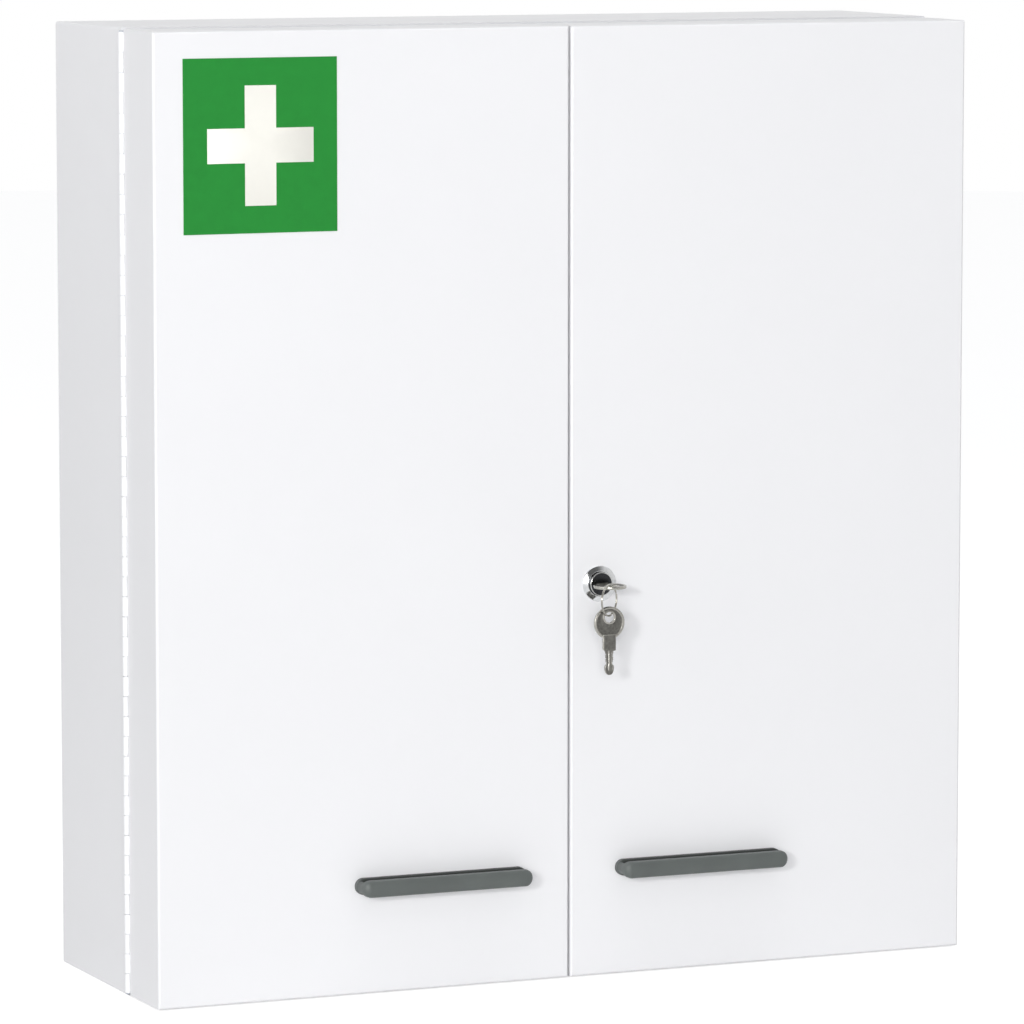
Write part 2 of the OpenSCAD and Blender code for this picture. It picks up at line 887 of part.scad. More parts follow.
// The ring hangs on the bow's rim, left of its middle, and passes through its hole
ring_x = lock_x - 4;
ring_y = bow_y - 7.6;
ring_z = lock_z - 7.5;
ring_turn = 52;
ring_start = 20;
ring_gap = 6;

module key_ring() {
    color(chrome) translate([ring_x, ring_y, ring_z]) rotate([0, 0, -ring_turn]) rotate([90, 0, 90])
        rotate(ring_start) rotate_extrude(angle = 360 - ring_gap) translate([ring_r, 0]) circle(ring_wire_r);
}

// The spare key hangs on the ring's lowest point, flat to the door
spare_slack = 0.9;

module spare_key() {
    color(nickel) translate([ring_x, ring_y, ring_z - ring_r - spare_slack + hole_y])
        rotate([-90, 0, 0]) key();
}

// ---------------------------------------------------------------- assembly

body_shell();
back_panel();
upper_shelf();
lower_shelf();
shelf_clips();
left_hinge_body_leaf();
right_hinge_body_leaf();
left_hinge_pin();
right_hinge_pin();
body_hinge_rivets();
catch_housings();
catch_pole_plates();
catch_screws();
door_bumpers();
left_door_shell();
left_door_upper_shelf();
left_door_lower_shelf();
left_door_bottom_rail();
left_hinge_door_leaf();
left_hinge_rivets();
left_handle();
left_handle_screws();
left_strike_plates();
sign_panel();
lock_keeper();
right_door_shell();
right_door_upper_shelf();
right_door_lower_shelf();
right_door_bottom_rail();
right_hinge_door_leaf();
right_hinge_rivets();
right_handle();
right_handle_screws();
right_strike_plates();
lock_housing();
lock_washer();
lock_nut();
lock_plug();
lock_cam();
cam_washer();
cam_screw();
inserted_key();
key_ring();
spare_key();
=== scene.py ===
"""Looks of a lockable medicine cabinet: powder-coated steel, plastic handles, lock, keys and sign."""

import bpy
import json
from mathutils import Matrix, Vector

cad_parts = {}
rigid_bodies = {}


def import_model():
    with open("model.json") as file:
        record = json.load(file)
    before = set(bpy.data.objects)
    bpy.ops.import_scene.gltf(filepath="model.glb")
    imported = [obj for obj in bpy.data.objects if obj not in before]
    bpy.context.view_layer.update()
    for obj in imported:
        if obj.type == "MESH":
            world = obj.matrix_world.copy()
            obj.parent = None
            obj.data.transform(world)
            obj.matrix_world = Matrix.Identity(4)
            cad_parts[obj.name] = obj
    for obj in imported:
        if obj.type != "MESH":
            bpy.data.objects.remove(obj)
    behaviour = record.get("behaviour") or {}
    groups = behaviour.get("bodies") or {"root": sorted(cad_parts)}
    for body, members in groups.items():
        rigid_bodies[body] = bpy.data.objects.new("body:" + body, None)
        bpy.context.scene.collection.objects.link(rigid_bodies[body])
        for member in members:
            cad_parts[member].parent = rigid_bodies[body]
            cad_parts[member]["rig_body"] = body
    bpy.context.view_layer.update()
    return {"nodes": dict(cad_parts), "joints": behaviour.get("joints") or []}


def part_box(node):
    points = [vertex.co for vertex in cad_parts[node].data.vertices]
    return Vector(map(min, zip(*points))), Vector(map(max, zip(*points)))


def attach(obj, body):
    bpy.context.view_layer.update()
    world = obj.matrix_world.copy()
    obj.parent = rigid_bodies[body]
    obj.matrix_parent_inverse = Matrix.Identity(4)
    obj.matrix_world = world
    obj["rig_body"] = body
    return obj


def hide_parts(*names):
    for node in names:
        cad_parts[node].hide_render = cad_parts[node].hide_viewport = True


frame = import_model()

import json
import math

import bmesh
import bpy
import numpy as np
from bpy.props import FloatProperty, FloatVectorProperty, PointerProperty
from bpy.types import Operator, Panel, PropertyGroup
from mathutils import Vector

bl_info = {
    "name": "Medicine cabinet",
    "version": (1, 0, 0),
    "blender": (4, 5, 0),
    "location": "View3D > Sidebar > Cabinet",
    "description": "Dresses a lockable medicine cabinet and sets its stage",
    "category": "Object",
}

MM = 0.001
NODES = frame["nodes"]
JOINTS = {joint["name"]: joint for joint in frame["joints"]}


def middle(node):
    """The middle of a CAD node's box, in metres."""
    low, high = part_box(node)
    return (np.array(low) + np.array(high)) / 2


LOCK_POS = np.array(JOINTS["lock_turn"]["pos_m"])

STEEL_NODES = (
    "body_shell", "back_panel", "upper_shelf", "lower_shelf",
    "left_hinge_body_leaf", "right_hinge_body_leaf", "left_hinge_door_leaf", "right_hinge_door_leaf",
    "left_door_shell", "left_door_upper_shelf", "left_door_lower_shelf", "left_door_bottom_rail",
    "right_door_shell", "right_door_upper_shelf", "right_door_lower_shelf", "right_door_bottom_rail",
)
ZINC_NODES = (
    "shelf_clips", "left_hinge_pin", "right_hinge_pin", "body_hinge_rivets", "catch_pole_plates",
    "catch_screws", "left_hinge_rivets", "right_hinge_rivets", "left_handle_screws",
    "right_handle_screws", "left_strike_plates", "right_strike_plates", "lock_keeper",
    "lock_washer", "lock_cam", "cam_washer", "cam_screw",
)


# ---------------------------------------------------------------- settings


def colour(name, description, default):
    """A colour property with linear red, green and blue."""
    return FloatVectorProperty(name=name, description=description, default=default,
                               subtype="COLOR", size=3, min=0.0, max=1.0)


def length(name, description, default):
    """A length property in metres."""
    return FloatProperty(name=name, description=description, default=default,
                         unit="LENGTH", subtype="DISTANCE", precision=5)


class FinishSettings(PropertyGroup):
    """Colours of the cabinet's finishes."""

    paint: colour("Powder coat", "White of the steel body and doors", (0.87, 0.87, 0.885))
    plastic: colour("Handle plastic", "Dark grey of the handles", (0.105, 0.118, 0.113))
    sign: colour("Sign", "Green of the first-aid sign", (0.016, 0.248, 0.033))
    cross: colour("Cross", "White of the sign's cross", (0.90, 0.885, 0.82))
    chrome: colour("Chrome", "Colour of the lock's flange", (0.80, 0.81, 0.82))
    plug: colour("Plug", "Colour of the lock's dark plug", (0.055, 0.056, 0.06))
    nickel: colour("Nickel", "Colour of the keys", (0.50, 0.487, 0.445))
    zinc: colour("Zinc", "Colour of the plated small parts", (0.60, 0.62, 0.65))
    rubber: colour("Rubber", "Colour of the door bumpers", (0.30, 0.31, 0.32))


class SignSettings(PropertyGroup):
    """Sizes of the first-aid cross."""

    width: length("Width", "Width of the cross", 69.1 * MM)
    height: length("Height", "Height of the cross", 73.1 * MM)
    arm_width: length("Upright arm", "Width of the upright arm", 20.3 * MM)
    arm_height: length("Level arm", "Height of the level arm", 21.2 * MM)
    thickness: length("Thickness", "Thickness of the printed foil", 0.06 * MM)


class KeySettings(PropertyGroup):
    """Sizes of a key and of the split ring."""

    bow_radius: length("Bow radius", "Outer radius of the bow", 10.25 * MM)
    hole_radius: length("Hole radius", "Radius of the bow's hole", 3.3 * MM)
    hole_offset: length("Hole offset", "Distance of the hole from the bow's centre", 3.5 * MM)
    thickness: length("Thickness", "Thickness of the key", 1.9 * MM)
    neck_start: length("Neck start", "Where the neck rises out of the bow's face", 7.3 * MM)
    neck_width: length("Neck", "Width of the neck", 8.6 * MM)
    blade_width: length("Blade", "Width of the blade", 5.2 * MM)
    bulb_width: length("Bulb", "Width of the blade's leaf-shaped end", 6 * MM)
    key_length: length("Length", "Whole length of the key", 43 * MM)
    ring_radius: length("Ring radius", "Mean radius of the split ring", 9.75 * MM)
    ring_turn: FloatProperty(name="Ring turn", description="Turn of the ring about the upright",
                             default=math.radians(-52), unit="ROTATION", subtype="ANGLE")


class LockSettings(PropertyGroup):
    """Sizes of the lock's flange, barrel and plug."""

    flange_radius: length("Flange radius", "Outer radius of the flange", 11.35 * MM)
    rim: length("Rim", "Height of the flange's inner rim", 2 * MM)
    head_radius: length("Head radius", "Radius of the plug's head", 7.6 * MM)
    plug_face: length("Plug face", "Height of the plug's face", 4 * MM)
    plug_radius: length("Plug radius", "Radius of the plug in the barrel", 6.5 * MM)
    barrel_radius: length("Barrel radius", "Outer radius of the threaded barrel", 9.5 * MM)
    barrel_length: length("Barrel length", "Length of the barrel behind the door's face", 20 * MM)
    flats: length("Flats", "Distance between the barrel's flats", 16 * MM)
    thread: length("Thread", "Pitch of the barrel's thread", 1 * MM)


class HandleSettings(PropertyGroup):
    """Section of a handle, from the door forwards."""

    foot: length("Foot", "Thickness of the foot on the door", 4 * MM)
    waist: length("Waist", "Half height of the waist", 2.4 * MM)
    bar_back: length("Bar", "Distance of the bar's back from the door", 11 * MM)
    crown: length("Crown", "Rise of the bar's crowned front", 1.6 * MM)


class StageSettings(PropertyGroup):
    """Camera, lamps and floor."""

    azimuth: FloatProperty(name="Azimuth", description="Camera's angle round the cabinet",
                           default=math.radians(-23.28), unit="ROTATION", subtype="ANGLE")
    elevation: FloatProperty(name="Elevation", description="Camera's angle above the level",
                             default=math.radians(6.52), unit="ROTATION", subtype="ANGLE")
    distance: length("Distance", "Camera's distance from its target", 3.8906)
    focal: FloatProperty(name="Focal length", description="Lens for a 36 mm sensor, in millimetres",
                         default=214.24, min=20)
    target: FloatVectorProperty(name="Target", description="Point that the camera looks at",
                                default=(-0.0011, -0.089, -0.01328), subtype="TRANSLATION", size=3)
    key_power: FloatProperty(name="Key lamp", description="Power of the lamp on the left, in watts",
                             default=70.0, min=0)
    fill_power: FloatProperty(name="Fill lamp", description="Power of the broad front lamp, in watts",
                              default=128.0, min=0)
    side_power: FloatProperty(name="Side lamp", description="Power of the lamp beside the cabinet, in watts",
                              default=10.0, min=0)
    top_power: FloatProperty(name="Top lamp", description="Power of the overhead lamp, in watts",
                             default=8.5, min=0)
    ambient: FloatProperty(name="Ambient", description="Strength of the surrounding light",
                           default=0.40, min=0)
    backdrop: FloatProperty(name="Backdrop", description="Brightness of the seen background",
                            default=1.0, min=0, max=1)
    floor: colour("Floor", "Colour of the floor", (0.80, 0.80, 0.80))
    floor_glow: FloatProperty(name="Floor glow", description="Light added to the floor where it is seen",
                              default=0.64, min=0, max=1)


# ---------------------------------------------------------------- surfaces


def grid_quads(rows, columns, close_rows, close_columns):
    """Corners of the quads of a grid of points, as whole arrays: each cell joins a point to the
    next one along both directions, and a closed direction runs on to its first point."""
    r = np.arange(rows if close_rows else rows - 1)[:, None]
    c = np.arange(columns if close_columns else columns - 1)[None, :]
    near, far = r * columns, ((r + 1) % rows) * columns
    left, right = c, (c + 1) % columns
    return np.stack([near + left, near + right, far + right, far + left], axis=-1).reshape(-1, 4)


def make_piece(name, patches, sharp=35.0, attribute=None):
    """A mesh object from grids of points. Each patch is (points, close_rows, close_columns).
    Doubled points are merged, so poles and seams are closed, and faces are turned outwards."""
    points, quads, start = [], [], 0
    for grid, close_rows, close_columns in patches:
        rows, columns = grid.shape[:2]
        quads.append(grid_quads(rows, columns, close_rows, close_columns) + start)
        points.append(grid.reshape(-1, 3))
        start += rows * columns
    points, quads = np.concatenate(points), np.concatenate(quads)
    mesh = bpy.data.meshes.new(name)
    mesh.vertices.add(len(points))
    mesh.vertices.foreach_set("co", points.astype(np.float32).ravel())
    mesh.loops.add(quads.size)
    mesh.loops.foreach_set("vertex_index", quads.astype(np.int32).ravel())
    mesh.polygons.add(len(quads))
    mesh.polygons.foreach_set("loop_start", np.arange(0, quads.size, 4, dtype=np.int32))
    mesh.update(calc_edges=True)
    if attribute is not None:
        layer = mesh.attributes.new(attribute[0], "FLOAT", "POINT")
        layer.data.foreach_set("value", np.concatenate(attribute[1]).astype(np.float32))
    tidy_mesh(mesh, sharp)
    piece = bpy.data.objects.new(name, mesh)
    bpy.context.scene.collection.objects.link(piece)
    return piece


def tidy_mesh(mesh, sharp):
    """Merges doubled points, turns the faces outwards and shades smoothly up to a sharp angle."""
    shape = bmesh.new()
    shape.from_mesh(mesh)
    bmesh.ops.remove_doubles(shape, verts=shape.verts, dist=1e-7)
    bmesh.ops.dissolve_degenerate(shape, edges=shape.edges, dist=1e-7)
    bmesh.ops.recalc_face_normals(shape, faces=shape.faces)
    shape.to_mesh(mesh)
    shape.free()
    mesh.shade_smooth()
    mesh.set_sharp_from_angle(angle=math.radians(sharp))


def rounded(corners, radius, steps=5):
    """An open outline with its inner corners rounded: each corner is replaced by the parabola that
    leaves one side and meets the other at the given distance, or near half a side if that is less."""
    corners = np.asarray(corners, float)
    before, here, after = corners[:-2], corners[1:-1], corners[2:]
    to_before, to_after = before - here, after - here
    length_before = np.linalg.norm(to_before, axis=1)[:, None]
    length_after = np.linalg.norm(to_after, axis=1)[:, None]
    reach = np.minimum(radius, 0.49 * np.minimum(length_before, length_after))
    first = here + to_before / length_before * reach
    last = here + to_after / length_after * reach
    s = np.linspace(0, 1, steps)[None, :, None]
    arcs = (1 - s) ** 2 * first[:, None] + 2 * s * (1 - s) * here[:, None] + s ** 2 * last[:, None]
    return np.concatenate([corners[:1], arcs.reshape(-1, 2), corners[-1:]])


def finished_copy(node, bevel, sharp=30.0):
    """A copy of a CAD node whose triangles are merged into flat faces, with softly broken edges."""
    source = NODES[node]
    mesh = source.data.copy()
    mesh.name = node + "_finished"
    shape = bmesh.new()
    shape.from_mesh(mesh)
    bmesh.ops.remove_doubles(shape, verts=shape.verts, dist=2e-6)
    bmesh.ops.dissolve_limit(shape, angle_limit=math.radians(1.0), verts=shape.verts, edges=shape.edges)
    shape.to_mesh(mesh)
    shape.free()
    mesh.shade_smooth()
    mesh.set_sharp_from_angle(angle=math.radians(sharp))
    mesh.materials.clear()
    piece = bpy.data.objects.new(node + "_finished", mesh)
    bpy.context.scene.collection.objects.link(piece)
    edge = piece.modifiers.new("broken_edges", "BEVEL")
    edge.width = bevel
    edge.segments = 2
    edge.limit_method = "ANGLE"
    edge.angle_limit = math.radians(sharp)
    edge.harden_normals = True
    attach(piece, source["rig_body"])
    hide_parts(node)
    return piece


# ---------------------------------------------------------------- materials


class Finish:
    """A material's node tree, with short calls to add and join its nodes."""

    def __init__(self, name):
        self.material = bpy.data.materials.new(name)
        self.material.use_nodes = True
        self.tree = self.material.node_tree
        self.shader = self.tree.nodes["Principled BSDF"]
        self.place = self.add("ShaderNodeTexCoord").outputs["Object"]

    def add(self, kind, **settings):
        """A new node with the given settings."""
        node = self.tree.nodes.new(kind)
        for key, value in settings.items():
            setattr(node, key, value)
        return node

    def join(self, output, socket):
        """Links an output to a socket."""
        self.tree.links.new(output, socket)

    def set(self, **sockets):
        """Sets constant sockets of the shader itself."""
        for key, value in sockets.items():
            self.shader.inputs[key.replace("_", " ")].default_value = value

    def noise(self, scale, detail=2.0, roughness=0.5, stretch=(1, 1, 1), seed=0.0):
        """Noise on the object's own coordinates; scale is in features a metre."""
        mapping = self.add("ShaderNodeMapping")
        mapping.inputs["Scale"].default_value = stretch
        mapping.inputs["Location"].default_value = (seed, seed * 0.7, -seed)
        self.join(self.place, mapping.inputs["Vector"])
        node = self.add("ShaderNodeTexNoise")
        node.inputs["Scale"].default_value = scale
        node.inputs["Detail"].default_value = detail
        node.inputs["Roughness"].default_value = roughness
        self.join(mapping.outputs["Vector"], node.inputs["Vector"])
        return node.outputs["Fac"]

    def span(self, value, low, high, new_low, new_high):
        """Carries a value from one span to another."""
        node = self.add("ShaderNodeMapRange")
        for key, number in (("From Min", low), ("From Max", high), ("To Min", new_low), ("To Max", new_high)):
            node.inputs[key].default_value = number
        self.join(value, node.inputs["Value"])
        return node.outputs["Result"]

    def math(self, operation, *values):
        """One operation on values that are each a number or an output."""
        node = self.add("ShaderNodeMath", operation=operation)
        for index, value in enumerate(values):
            if isinstance(value, (int, float)):
                node.inputs[index].default_value = value
            else:
                self.join(value, node.inputs[index])
        return node.outputs["Value"]

    def blend(self, factor, first, second):
        """Mixes two colours, each a plain colour or an output."""
        node = self.add("ShaderNodeMix", data_type="RGBA")
        self.join(factor, node.inputs["Factor"])
        for socket, value in ((node.inputs[6], first), (node.inputs[7], second)):
            if isinstance(value, bpy.types.NodeSocket):
                self.join(value, socket)
            else:
                socket.default_value = (*value, 1.0)
        return node.outputs[2]

    def bump(self, height, strength, distance, below=None):
        """A normal roughened by a height, over another normal if one is given."""
        node = self.add("ShaderNodeBump")
        node.inputs["Strength"].default_value = strength
        node.inputs["Distance"].default_value = distance
        self.join(height, node.inputs["Height"])
        if below is not None:
            self.join(below, node.inputs["Normal"])
        return node.outputs["Normal"]

    def end(self, base=None, rough=None, normal=None):
        """Joins colour, roughness and normal to the shader, and gives the material."""
        for output, key in ((base, "Base Color"), (rough, "Roughness"), (normal, "Normal")):
            if output is not None:
                self.join(output, self.shader.inputs[key])
        return self.material


def shade(rgb, factor):
    """A colour made lighter or darker."""
    return tuple(min(1.0, channel * factor) for channel in rgb)


def powder_coat(rgb):
    """White powder coat: orange-peel bumps about 1.3 mm apart, a finer grain, and faint clouds."""
    finish = Finish("white_powder_coat")
    finish.set(IOR=1.5)
    clouds = finish.noise(7.0, detail=3.0)
    peel = finish.noise(760.0, detail=1.5, roughness=0.45)
    grain = finish.noise(3600.0, detail=1.0, seed=2.0)
    base = finish.blend(finish.span(clouds, 0.3, 0.7, 0.0, 1.0), shade(rgb, 0.988), rgb)
    rough = finish.span(finish.noise(60.0, seed=5.0), 0.3, 0.7, 0.33, 0.42)
    normal = finish.bump(peel, 0.16, 0.00012)
    normal = finish.bump(grain, 0.10, 0.00002, normal)
    return finish.end(base, rough, normal)


def handle_plastic(rgb):
    """Dark grey moulded plastic with a fine spark-eroded grain and slightly uneven gloss, and
    painted shade behind the bar: the grip's foot and waist are darkened, which the mesh marks
    with an attribute."""
    finish = Finish("dark_plastic")
    finish.set(IOR=1.48)
    tone = finish.noise(55.0, detail=4.0)
    grain = finish.noise(2600.0, detail=3.0, roughness=0.6)
    specks = finish.noise(900.0, detail=2.0, seed=3.0)
    base = finish.blend(finish.span(tone, 0.3, 0.7, 0.0, 1.0), shade(rgb, 0.93), shade(rgb, 1.06))
    grip = finish.add("ShaderNodeAttribute", attribute_name="grip").outputs["Fac"]
    # painted shade: the grip's foot and waist behind the bar take 0.38 of the plastic's colour
    base = finish.blend(grip, base, shade(rgb, 0.38))
    rough = finish.span(specks, 0.3, 0.7, 0.40, 0.52)
    return finish.end(base, rough, finish.bump(grain, 0.22, 0.00004))


def sign_print(name, rgb, mottle):
    """Printed foil: faint mottled ink and a satin film."""
    finish = Finish(name)
    finish.set(IOR=1.46, Specular_IOR_Level=0.3)
    ink = finish.noise(160.0, detail=5.0, roughness=0.65)
    wide = finish.noise(18.0, detail=2.0, seed=4.0)
    base = finish.blend(finish.span(ink, 0.3, 0.7, 0.0, 1.0), shade(rgb, 1 - mottle), shade(rgb, 1 + mottle))
    base = finish.blend(finish.span(wide, 0.35, 0.65, 0.0, 0.5), base, shade(rgb, 1 + mottle))
    film = finish.noise(1400.0, detail=1.0, seed=1.0)
    rough = finish.span(film, 0.3, 0.7, 0.36, 0.44)
    return finish.end(base, rough, finish.bump(film, 0.05, 0.00002))


def turned_metal(name, rgb, low, high, centre, pitch, rim_highlight=None):
    """Plated metal that was turned on a lathe: fine rings round the given centre, stains and
    a little uneven gloss. The rings' height is the sine of the distance over their pitch.
    Between two given radii a bright grey ring is painted in, a painted highlight."""
    finish = Finish(name)
    finish.set(Metallic=1.0)
    mapping = finish.add("ShaderNodeMapping")
    mapping.inputs["Location"].default_value = (-centre[0], 0, -centre[2])
    mapping.inputs["Scale"].default_value = (1, 0, 1)
    finish.join(finish.place, mapping.inputs["Vector"])
    away = finish.add("ShaderNodeVectorMath", operation="LENGTH")
    finish.join(mapping.outputs["Vector"], away.inputs[0])
    rings = finish.math("SINE", finish.math("MULTIPLY", away.outputs["Value"], 2 * math.pi / pitch))
    stains = finish.noise(420.0, detail=4.0, roughness=0.6)
    base = finish.blend(finish.span(stains, 0.35, 0.7, 0.0, 1.0), rgb, shade(rgb, 0.86))
    # painted highlight: a bright grey ring between the two radii
    if rim_highlight is not None:
        inside = finish.span(away.outputs["Value"], rim_highlight[0] - 0.15 * MM, rim_highlight[0], 0.0, 1.0)
        outside = finish.span(away.outputs["Value"], rim_highlight[1], rim_highlight[1] + 0.1 * MM, 1.0, 0.0)
        base = finish.blend(finish.math("MULTIPLY", inside, outside), base, (0.72, 0.72, 0.71))
    rough = finish.span(finish.noise(900.0, detail=3.0, seed=2.0), 0.3, 0.7, low, high)
    normal = finish.bump(rings, 0.05, 0.00001)
    normal = finish.bump(stains, 0.04, 0.00003, normal)
    return finish.end(base, rough, normal)


def zinc_plate(rgb):
    """Bright zinc plate: bluish spangle patches, fine scratches and duller spots."""
    finish = Finish("zinc_plate")
    finish.set(Metallic=1.0)
    patches = finish.noise(240.0, detail=3.0, roughness=0.7)
    scratches = finish.noise(900.0, detail=2.0, stretch=(1, 1, 0.05), seed=3.0)
    tint = (rgb[0] * 0.92, rgb[1] * 0.97, rgb[2] * 1.04)
    base = finish.blend(finish.span(patches, 0.35, 0.65, 0.0, 1.0), rgb, tint)
    rough = finish.span(patches, 0.3, 0.7, 0.28, 0.44)
    return finish.end(base, rough, finish.bump(scratches, 0.12, 0.00002))


def key_nickel(rgb):
    """Worn nickel: bright on the raised rims and duller, darker and grained in the pressed
    recesses, which the mesh marks with its recess attribute. On the blade that attribute also
    carries painted light: a painted highlight in a narrow line along it, and painted shade in
    the grooves."""
    finish = Finish("key_nickel")
    finish.set(Metallic=1.0)
    mark = finish.add("ShaderNodeAttribute", attribute_name="recess").outputs["Fac"]
    handling = finish.noise(700.0, detail=4.0, roughness=0.65)
    scuffs = finish.noise(2400.0, detail=2.0, seed=4.0)
    bright = finish.blend(finish.span(handling, 0.35, 0.7, 0.0, 1.0), rgb, shade(rgb, 0.80))
    dull = finish.blend(finish.span(handling, 0.35, 0.7, 0.0, 1.0), shade(rgb, 0.40), shade(rgb, 0.23))
    base = finish.blend(mark, bright, dull)
    polish = finish.span(scuffs, 0.3, 0.7, 0.16, 0.30)
    rough = finish.math("ADD", polish, finish.math("MULTIPLY", mark, 0.26))
    normal = finish.bump(scuffs, 0.16, 0.00003)
    normal = finish.bump(handling, 0.12, 0.00008, normal)
    return finish.end(base, rough, normal)


def soft_rubber(name, rgb, rough_low, rough_high):
    """Moulded rubber or plain plastic with a dusty, slightly uneven skin."""
    finish = Finish(name)
    tone = finish.noise(260.0, detail=4.0)
    grain = finish.noise(1900.0, detail=2.0, seed=1.0)
    base = finish.blend(finish.span(tone, 0.3, 0.7, 0.0, 1.0), shade(rgb, 0.93), shade(rgb, 1.05))
    rough = finish.span(grain, 0.3, 0.7, rough_low, rough_high)
    return finish.end(base, rough, finish.bump(grain, 0.2, 0.00004))


def dress(piece, material):
    """Gives a piece its one material."""
    piece.data.materials.clear()
    piece.data.materials.append(material)


# ---------------------------------------------------------------- pieces


class CABINET_OT_steel(Operator):
    """Powder-coats the folded sheet parts and the hinge leaves"""

    bl_idname = "cabinet.steel"
    bl_label = "Powder-coated steel"

    def execute(self, context):
        paint = powder_coat(tuple(context.scene.cabinet_finish.paint))
        for node in STEEL_NODES:
            dress(NODES[node], paint)
        return {"FINISHED"}


class CABINET_OT_small_parts(Operator):
    """Plates the rivets, pins, screws, strikes and cam, and dresses the catches and bumpers"""

    bl_idname = "cabinet.small_parts"
    bl_label = "Small parts"

    def execute(self, context):
        settings = context.scene.cabinet_finish
        zinc = zinc_plate(tuple(settings.zinc))
        for node in ZINC_NODES:
            dress(NODES[node], zinc)
        moulded = soft_rubber("white_plastic", (0.80, 0.80, 0.79), 0.38, 0.5)
        dress(finished_copy("catch_housings", 0.4 * MM), moulded)
        rubber = soft_rubber("rubber", tuple(settings.rubber), 0.6, 0.75)
        dress(finished_copy("door_bumpers", 0.5 * MM), rubber)
        return {"FINISHED"}


class CABINET_OT_handles(Operator):
    """Builds both bar handles as one section carried round a long path with round ends"""

    bl_idname = "cabinet.handles"
    bl_label = "Handles"

    def execute(self, context):
        settings = context.scene.cabinet_handle
        plastic = handle_plastic(tuple(context.scene.cabinet_finish.plastic))
        for side in ("left", "right"):
            surface, grip = handle_surface(side + "_handle", settings)
            # the attribute carries where the grip's painted shade lies
            piece = make_piece(side + "_bar_handle", [surface], attribute=("grip", [grip]))
            dress(piece, plastic)
            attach(piece, side + "_door")
            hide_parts(side + "_handle")
        return {"FINISHED"}


def handle_surface(node, settings):
    """A point is the section's (distance from the middle line, distance from the door). The path
    runs straight along X and turns half round at both ends: X is the end's centre plus the
    section's distance times the cosine of the turn, and Z is that distance times its sine. Round
    an end the waist swells out nearly to the bar, and the bar's front is drawn in along X."""
    low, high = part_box(node)
    radius = (high.z - low.z) / 2
    out = high.y - low.y
    end = (high.x - low.x) / 2 - radius
    centre = middle(node)
    foot, back, crown = settings.foot, settings.bar_back, settings.crown
    across = np.linspace(0.7, 0, 9)
    front = np.stack([across * radius, out - crown * 0.85 * across ** 2], axis=1)
    soften, lip, end_waist = 0.3 * MM, 0.8 * MM, radius - 0.4 * MM

    def section(waist):
        lower = rounded([(0, 0), (radius, 0), (radius, foot), (waist, foot + soften),
                         (waist, back - soften), (radius, back), (radius, out - crown),
                         (0.75 * radius, out - 0.5 * crown)], lip, 6)
        return np.concatenate([lower[:-1], front])

    turn = np.radians(np.concatenate([np.linspace(-90, 90, 25), np.linspace(90, 270, 25)]))
    swell = step(np.abs(np.cos(turn)), 0.1, 0.75)[:, None, None]
    outline = section(settings.waist) * (1 - swell) + section(end_waist) * swell
    reach, rise = outline[..., 0], outline[..., 1]
    drawn_in = 1 - 0.35 * step(rise, back + 1.5 * MM, out + 1 * MM)
    x = centre[0] + np.repeat([end, -end], 25)[:, None] + reach * drawn_in * np.cos(turn)[:, None]
    z = centre[2] + reach * np.sin(turn)[:, None]
    # painted shade mask: one on the foot and the waist behind the bar, fading round the ends
    grip = (1 - step(rise, back - 0.4 * MM, back)) * (1 - 0.8 * swell[..., 0])
    return (np.stack([x, high.y - rise, z], axis=-1), True, False), grip.ravel()


class CABINET_OT_sign(Operator):
    """Prints the green sign and lays the white first-aid cross on it"""

    bl_idname = "cabinet.sign"
    bl_label = "First-aid sign"

    def execute(self, context):
        finish, settings = context.scene.cabinet_finish, context.scene.cabinet_sign
        green = sign_print("green_vinyl", tuple(finish.sign), 0.05)
        dress(NODES["sign_panel"], green)
        white = sign_print("white_print", tuple(finish.cross), 0.012)
        piece = make_piece("first_aid_cross", [cross_surface(settings)], sharp=50)
        piece.data.materials.append(white)
        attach(piece, "left_door")
        return {"FINISHED"}


def cross_surface(settings):
    """A cross as a stack of level lines: on its outline each point is a corner of the cross. Each
    row draws the corners in by the row's inset and lifts them, and the last is the middle point."""
    half_w, half_h = settings.width / 2, settings.height / 2
    arm_x, arm_z = settings.arm_width / 2, settings.arm_height / 2
    quarter = np.array([(half_w, arm_z), (arm_x, arm_z), (arm_x, half_h)])
    signs = np.array([(1, 1), (-1, 1), (-1, -1), (1, -1)])
    corners = np.concatenate([quarter[:: 1 if i % 2 == 0 else -1] * s for i, s in enumerate(signs)])
    foil = settings.thickness
    rows = ((0.0, 0.0), (0.0, 0.7 * foil), (0.3 * foil, foil))
    centre = middle("sign_panel")
    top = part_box("sign_panel")[0].y
    levels = [np.stack([centre[0] + corners[:, 0] * (1 - inset / half_w), 0 * corners[:, 0] + top - rise,
                        centre[2] + corners[:, 1] * (1 - inset / half_h)], axis=-1) for inset, rise in rows]
    levels.append(levels[-1].mean(axis=0) + 0 * levels[-1])
    return np.stack(levels), False, True


